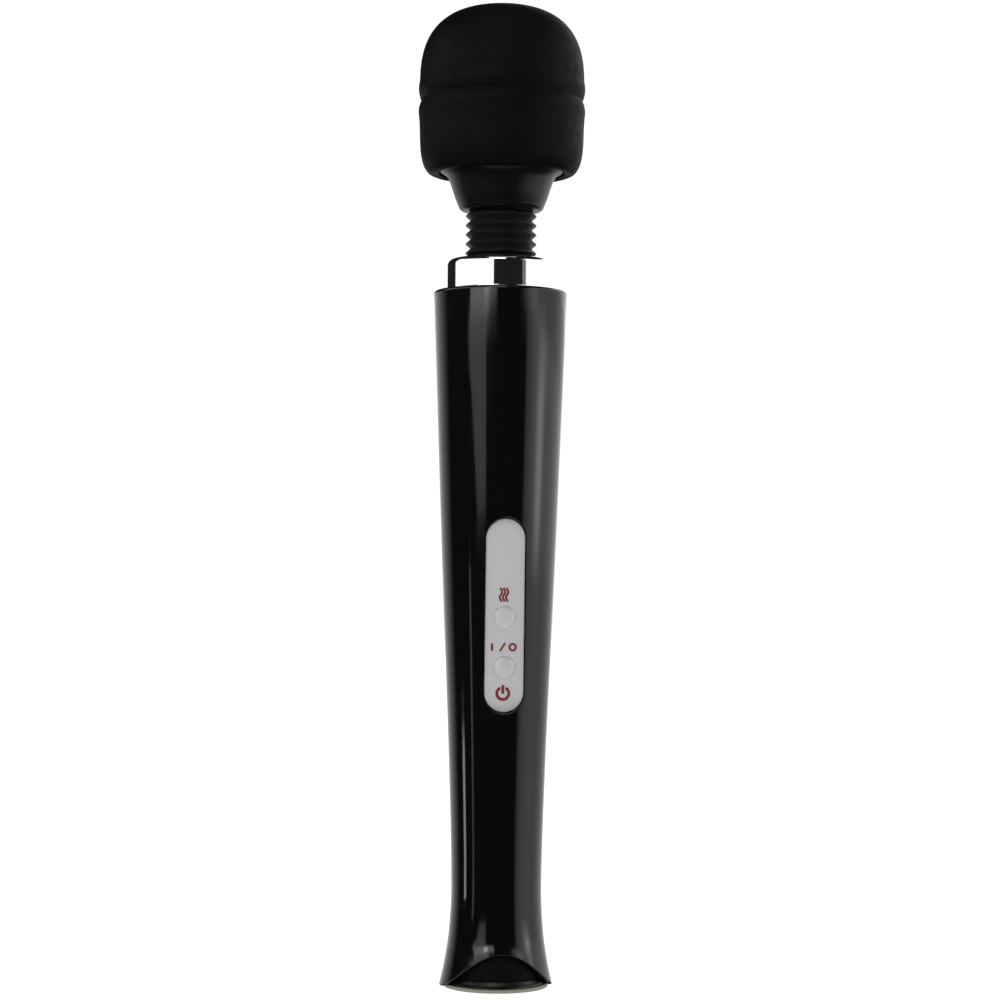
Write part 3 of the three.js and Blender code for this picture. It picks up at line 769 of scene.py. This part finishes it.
def pocket_cutter():
    """A stadium that fits closely round the plate and opens a little towards the casing's surface."""
    rows = ((POCKET_FLOOR, 0.2), (0.1, 0.2), (-0.3, 0.25), (-1.6, 0.5), (-5.0, 1.3))
    loops = []
    for depth, margin in rows:
        outline = stadium(PANEL_WIDTH + 2 * margin, PANEL_LENGTH + 2 * margin)
        loops.append([(x, depth, z) for x, z in outline])
    size = len(loops[0])
    points = [p for loop in loops for p in loop]
    faces = []
    for k in range(len(loops) - 1):
        for i in range(size):
            j = (i + 1) % size
            faces.append((k * size + i, k * size + j, (k + 1) * size + j, (k + 1) * size + i))
    faces.append(tuple(range(size - 1, -1, -1)))
    faces.append(tuple(range(len(points) - size, len(points))))
    return on_panel(mesh_object("pocket_cutter", points, faces))


def polish_normals(made):
    """Sets the casing's outer normals from its formula, so that cuts don't disturb its reflections."""
    tolerance = 0.003  # how far a point may be off the surface that the formula gives
    lip = 0.9  # the rounded top is left as it is
    turned = math.cos(math.radians(12))  # faces that turn further from the formula are edges or cuts
    mesh = made.data
    mesh.shade_smooth()
    mesh.set_sharp_from_angle(angle=math.radians(32))
    normals = [Vector(c.vector) for c in mesh.corner_normals]
    for face in mesh.polygons:
        for index in face.loop_indices:
            point = mesh.vertices[mesh.loops[index].vertex_index].co / MM
            radius = math.hypot(point.x, point.y)
            if abs(radius - handle_radius(point.z)) > tolerance or point.z > CASING_TOP - lip:
                continue
            rise = (handle_radius(point.z + 0.1) - handle_radius(point.z - 0.1)) / 0.2
            normal = Vector((point.x / radius, point.y / radius, -rise)).normalized()
            if normal.dot(face.normal) > turned:
                normals[index] = normal
    mesh.normals_split_custom_set(normals)


def casing():
    front = casing_half("gloss_front_shell", True)
    front = boolean(front, pocket_cutter())
    rear = casing_half("gloss_rear_shell", False)
    for made, node in ((front, "front_shell"), (rear, "rear_shell")):
        polish_normals(made)
        finish_piece(made, "handle", "gloss_black", MATERIALS["gloss_black"], node)


# ---------- base ----------


def base():
    """A round foot with a grey rim, a sloped ring inside it, and a dull core under the casing's arches."""
    hole = SOCKET_HIGH.x + 0.4
    core_bottom, core_top, core_inner, core_outer = 3.6, 20, 11.7, 15.1
    rim, rim_inner, rim_height = FOOT_HIGH.x - 1.1, FOOT_HIGH.x - 2.2, 1.2
    strip = rounded([
        (rim_inner, 0), (rim, 0, 0.3), (rim, rim_height, 0.4), (rim_inner, rim_height),
    ], closed=True, steps=6)
    finish_piece(revolve("foot_rim", strip, closed=True), "handle", "matte_black", RIM)

    floor = 2.6
    foot = [
        (hole, 0.3), (hole + 0.3, 0), (rim_inner - 0.05, 0), (rim_inner - 0.05, 0.6),
        *rounded([(16.3, 0.6), (16.25, 2.0), (16.0, 2.2, 0.15), (15.3, 3.4, 0.3), (14.2, 3.5)]),
        (14.2, floor), (hole, floor),
    ]
    made = revolve("satin_foot", foot, closed=True)
    finish_piece(made, "handle", "gloss_black", SATIN, "tail_cap")

    # The core fills the casing's mouth, so that nothing shows through between the two arches.
    clearance = 0.35
    core = [(core_inner, core_bottom)]
    for z in np.linspace(core_bottom, core_top, 18):
        core.append((min(handle_radius(z) - WALL - clearance, core_outer), float(z)))
    core.append((core_inner, core_top))
    finish_piece(revolve("foot_core", core, closed=True), "handle", "matte_black", RECESS)


def socket():
    """The charging socket, with a chamfered mouth and a contact pin."""
    outer, face, top = SOCKET_HIGH.x, SOCKET_LOW.z, SOCKET_HIGH.z
    bore, bore_end, pin = 2.75, top - 2, 0.6
    outline = [
        (0, face + 1), (pin - 0.2, face + 1), (pin, face + 1.2), (pin, bore_end), (bore, bore_end),
        (bore, face + 0.5), (bore + 0.5, face), (outer - 0.25, face), (outer, face + 0.25),
        (outer, top), (0, top),
    ]
    made = revolve("socket_body", outline, segments=SMALL_TURN)
    return finish_piece(made, "handle", "matte_black", MATERIALS["matte_black"], "charging_socket")


# ---------- control panel ----------


def plate():
    """The plate has a bevelled outer edge, and sharp holes that its buttons fill."""
    gap = 0.05
    made = flat_shape("silver_plate", [stadium(PANEL_WIDTH, PANEL_LENGTH)], 0, PANEL_THICKNESS, 0.4)
    for name, radius in BUTTON_RADII.items():
        hole = revolve("hole", [(0, -3), (radius + gap, -3), (radius + gap, 3), (0, 3)], segments=SMALL_TURN)
        hole.data.transform(lay_on_panel(name))
        boolean(made, hole)
    on_panel(smoothed(made, 40))
    return finish_piece(made, "handle", "panel_silver", MATERIALS["panel_silver"], "panel_plate")


def lay_on_panel(button):
    """Turns a button that is made about +Z to face -Y at its place on the panel."""
    return Matrix.Translation((0, 0, BUTTON_PLACES[button] * MM)) @ Matrix.Rotation(math.pi / 2, 4, "X")


def buttons():
    """Low domed keys that rise from the plate's own level."""
    crown = 1.0
    flatness = 3.6  # the power of the dome's curve: higher is flatter in the middle
    skirt = -0.6
    for name, radius in BUTTON_RADII.items():
        shares = np.sin(np.radians(np.linspace(90, 0, 22)))
        top = [(radius * share, crown * (1 - share**flatness)) for share in shares]
        made = revolve(f"{name}_cap", [(0, skirt), (radius, skirt), *top], segments=SMALL_TURN)
        made.data.transform(lay_on_panel(name))
        on_panel(made)
        finish_piece(made, name, "panel_silver", MATERIALS["panel_silver"], name)


def stroke(points, width):
    """The closed outline of a line of even width through points, with square ends."""
    left, right = [], []
    for i, point in enumerate(points):
        before, after = points[max(i - 1, 0)], points[min(i + 1, len(points) - 1)]
        along = (Vector(after) - Vector(before)).normalized()
        side = Vector((-along.y, along.x)) * width / 2
        left.append(tuple(Vector(point) + side))
        right.append(tuple(Vector(point) - side))
    return left + right[::-1]


def print_marks():
    """Printed marks: three waves, an on and off mark, and a power sign."""
    proud = 0.03
    left = -0.35  # the print sits a little left of the plate's middle
    waves = []
    for offset in (-1.02, 0, 1.02):
        line = []
        for t in np.linspace(-1, 1, 33):
            line.append((left + offset + 0.36 * math.sin(t * math.pi * 1.25), 6.85 + 2.3 * t))
        waves.append(stroke(line, 0.72))
    middle = -10.5
    bar = stroke([(left - 3.8, middle - 1.25), (left - 3.8, middle + 1.25)], 0.8)
    slash = stroke([(left - 1.15, middle - 1.4), (left + 0.55, middle + 1.4)], 0.66)
    ring = [circle(left + 3.1, middle, 1.42, 48), circle(left + 3.1, middle, 0.68, 48)]
    low = -25.8
    gap = math.radians(26)
    radius = 2.0
    bend = [
        (left + radius * math.sin(a), low + radius * math.cos(a))
        for a in np.linspace(gap, 2 * math.pi - gap, 49)
    ]
    power = [stroke(bend, 1.0), stroke([(left, low - 0.1), (left, low + 2.8)], 1.0)]
    marks = {"mark_waves": waves, "mark_on_off": [bar, slash, *ring], "mark_power": power}
    for name, loops in marks.items():
        made = on_panel(flat_shape(name, loops, -proud, 0.1))
        finish_piece(made, "handle", "panel_silver", INK)


# ---------- stage ----------


def glow(name, start, stop=None, reach=1.0):
    """The nodes of a plain emitting material, brighter away from the middle if stop is given."""
    n = Nodes(name)
    n.set(Base_Color=(0, 0, 0, 1), Roughness=1.0, Specular_IOR_Level=0.0)
    n.set(Emission_Color=(1, 1, 1, 1), Emission_Strength=start)
    if stop:
        length = n.add("ShaderNodeVectorMath", operation="LENGTH")
        n.link(n.place, length.inputs[0])
        n.link(n.ramp(length.outputs["Value"], start, stop, 0.1, reach), n.shader.inputs["Emission Strength"])
    return n


def disc(name, radius, height):
    bpy.ops.mesh.primitive_circle_add(radius=radius, vertices=96, fill_type="NGON", location=(0, 0, height))
    made = bpy.context.object
    made.name = name
    return made


def backdrop():
    """A white floor, which isn't mirrored, and a white room, which only the camera sees."""
    floor = disc("floor", 6.9, 0)
    n = glow("floor_white", 0.95, 1.0, 0.6)
    n.set(Base_Color=(0.45, 0.45, 0.45, 1))
    floor.data.materials.append(n.material)
    floor.visible_glossy = False

    bpy.ops.mesh.primitive_uv_sphere_add(radius=7.0, segments=48, ring_count=24)
    room = bpy.context.object
    room.name = "room"
    room.data.materials.append(glow("room_white", 1.05).material)
    room.visible_diffuse = room.visible_glossy = room.visible_transmission = room.visible_shadow = False

    # What the foot mirrors below itself.
    under = disc("under_card", 0.12, -0.12)
    under.data.materials.append(glow("under_white", 1.0).material)
    under.visible_camera = under.visible_diffuse = under.visible_shadow = False


VIEW_TURN = -7.6  # the camera stands a little to the left of the panel's middle
CARD_DISTANCE = 3.0


def card(name, rows, distance=CARD_DISTANCE):
    """A curved glowing card round the wand, from rows of (height, [(azimuth, brightness), ...]).

    Azimuth 0 is towards the camera and 90 is to its right. The stops are joined round an arc, so that
    the card stays at the same distance between them.
    """
    columns = 60
    points, shades, faces = [], [], []
    for height, stops in rows:
        azimuths, levels = zip(*stops)
        for azimuth in np.linspace(azimuths[0], azimuths[-1], columns):
            angle = math.radians(azimuth + VIEW_TURN)
            points.append((distance * math.sin(angle), -distance * math.cos(angle), height))
            shades.append(float(np.interp(azimuth, azimuths, levels)))
    for row in range(len(rows) - 1):
        for i in range(columns - 1):
            first = row * columns + i
            faces.append((first, first + columns, first + columns + 1, first + 1))
    mesh = bpy.data.meshes.new(name)
    mesh.from_pydata(points, [], faces)
    shade = mesh.attributes.new("brightness", "FLOAT", "POINT")
    shade.data.foreach_set("value", shades)
    made = bpy.data.objects.new(name, mesh)
    bpy.context.scene.collection.objects.link(made)
    n = glow(name, 1.0)
    attribute = n.add("ShaderNodeAttribute", attribute_name="brightness")
    n.link(attribute.outputs["Fac"], n.shader.inputs["Emission Strength"])
    mesh.materials.append(n.material)
    made.visible_camera = made.visible_shadow = False


def even(low, high, start, stop, brightness):
    """Rows of a card that is equally bright all over."""
    stops = [(start, brightness), (stop, brightness)]
    return [(low, stops), (high, stops)]


def cards():
    """The soft boxes that the polished surfaces mirror, with the brightness a mirror would show."""
    above = 0.46  # what the collar mirrors starts here, and what the handle mirrors ends here
    card("left_high", even(above, 2.4, -115, -15, 1.35))
    flecked = [(47, 0.0), (50, 0.4), (52, 0.05), (55, 0.2), (57, 1.4), (180, 1.4)]
    card("right_high", [(above, flecked), (2.4, flecked)])
    rear = [(-180, 1.05), (-154, 0.9), (-136, 0.72), (-121, 0.45), (-109, 0.07), (-104, 0.0)]
    card("left_rear", [(-0.9, rear), (0.54, rear)])

    flat = [(44, 0.0), (49, 0.45), (58, 0.85), (70, 1.0), (78, 1.0), (85, 1.0), (92, 0.9), (101, 0.75),
            (115, 0.75), (150, 0.9), (180, 1.1)]
    core = [(46, 0.0), (49, 0.5), (60, 0.95), (70, 1.5), (76, 2.9), (83, 3.3), (88, 2.0), (93, 1.2),
            (101, 1.0), (115, 0.95), (150, 1.0), (180, 1.1)]
    soft = [(46, 0.0), (49, 0.5), (60, 0.95), (70, 1.4), (78, 1.9), (85, 2.1), (92, 1.6), (101, 1.1),
            (115, 0.95), (150, 1.0), (180, 1.2)]
    top = [(33, 0.0), (38, 0.5), (48, 1.3), (60, 1.8), (70, 1.1), (85, 0.9), (92, 0.8), (101, 0.75),
           (115, 0.75), (150, 0.9), (180, 1.1)]
    card("right_low", [(-0.9, flat), (-0.08, flat), (0.05, core), (0.22, core), (0.32, soft), (0.36, top),
                       (above, top)])

    # A broad light at the left: a wedge where the handle mirrors it, and wide where the flare does.
    card("left_wedge", [
        (0.0, [(-43, 0.5), (-34, 0.8), (-26, 0.5)]), (0.05, [(-45, 0.7), (-35, 0.9), (-25, 0.7)]),
        (0.18, [(-51, 0.85), (-39, 0.95), (-25, 0.85)]), (0.3, [(-60, 0.9), (-40, 1.0), (-25, 0.85)]),
        (0.335, [(-54, 2.2), (-32, 2.9), (-6, 1.9)]), (above, [(-49, 1.9), (-27, 2.7), (-3, 1.9)]),
    ])
    near = CARD_DISTANCE - 0.1
    dim = [(-31, 2.6), (-25, 2.6), (-22, 2.6), (-17, 2.2)]
    flash = [(-31, 2.6), (-25, 9.0), (-22, 9.0), (-17, 2.2)]
    card("left_flash", [(0.335, dim), (0.36, flash), (0.39, flash), (0.44, dim)], near)
    card("thin_strip", even(-0.42, -0.06, -63, -58.5, 0.9), near)
    card("edge_strip", even(-0.42, -0.27, -90, -83, 3.8), near)


def area_light(name, place, aim, width, height, brightness):
    light = bpy.data.lights.new(name, "AREA")
    light.shape = "RECTANGLE"
    light.size, light.size_y = width, height
    light.energy = brightness * math.pi * width * height
    made = bpy.data.objects.new(name, light)
    made.location = place
    made.rotation_euler = (Vector(aim) - Vector(place)).to_track_quat("-Z", "Y").to_euler()
    made.visible_camera = False
    bpy.context.scene.collection.objects.link(made)


def lights():
    """Two soft boxes, in front and overhead, and a nearly dark world for the polished surfaces to mirror."""
    area_light("front_top", (-0.3, -1.05, 1.15), (0, 0, 0.15), 0.8, 0.6, 2.2)
    area_light("top", (0.0, -0.1, 1.6), (0, 0, 0.1), 1.0, 1.0, 0.5)

    world = bpy.data.worlds.new("studio")
    bpy.context.scene.world = world
    world.use_nodes = True
    sky = world.node_tree.nodes["Background"]
    sky.inputs["Color"].default_value = (0.014, 0.014, 0.016, 1)
    sky.inputs["Strength"].default_value = 1.0


def camera():
    """The camera looks very slightly up, from a little left of the panel's middle."""
    distance = 0.85
    height = 0.1398
    across = 0.3372  # what the frame takes in at the wand's axis
    target_height, target_side = 0.1629, 0.0003
    roll_degrees = 0.42
    made = bpy.data.objects.new("camera", bpy.data.cameras.new("camera"))
    bpy.context.scene.collection.objects.link(made)
    bpy.context.scene.camera = made
    angle = math.radians(VIEW_TURN)
    made.location = (distance * math.sin(angle), -distance * math.cos(angle), height)
    made.data.lens = made.data.sensor_width * distance / across
    side = Vector((math.cos(angle), math.sin(angle), 0))
    target = Vector((0, 0, target_height)) + side * target_side
    aim = (target - made.location).to_track_quat("-Z", "Y")
    roll = Matrix.Rotation(math.radians(roll_degrees), 4, "Z")
    made.matrix_world = Matrix.Translation(made.location) @ aim.to_matrix().to_4x4() @ roll
    made.data.clip_end = 50


camera()
backdrop()
cards()
lights()
dress_cad_nodes()
head_cover()
neck_cone()
bellows()
drive_coupling()
chrome_ring()
casing()
base()
socket()
plate()
buttons()
print_marks()

scene = bpy.context.scene
scene.view_settings.view_transform = "Standard"
scene.view_settings.look = "None"
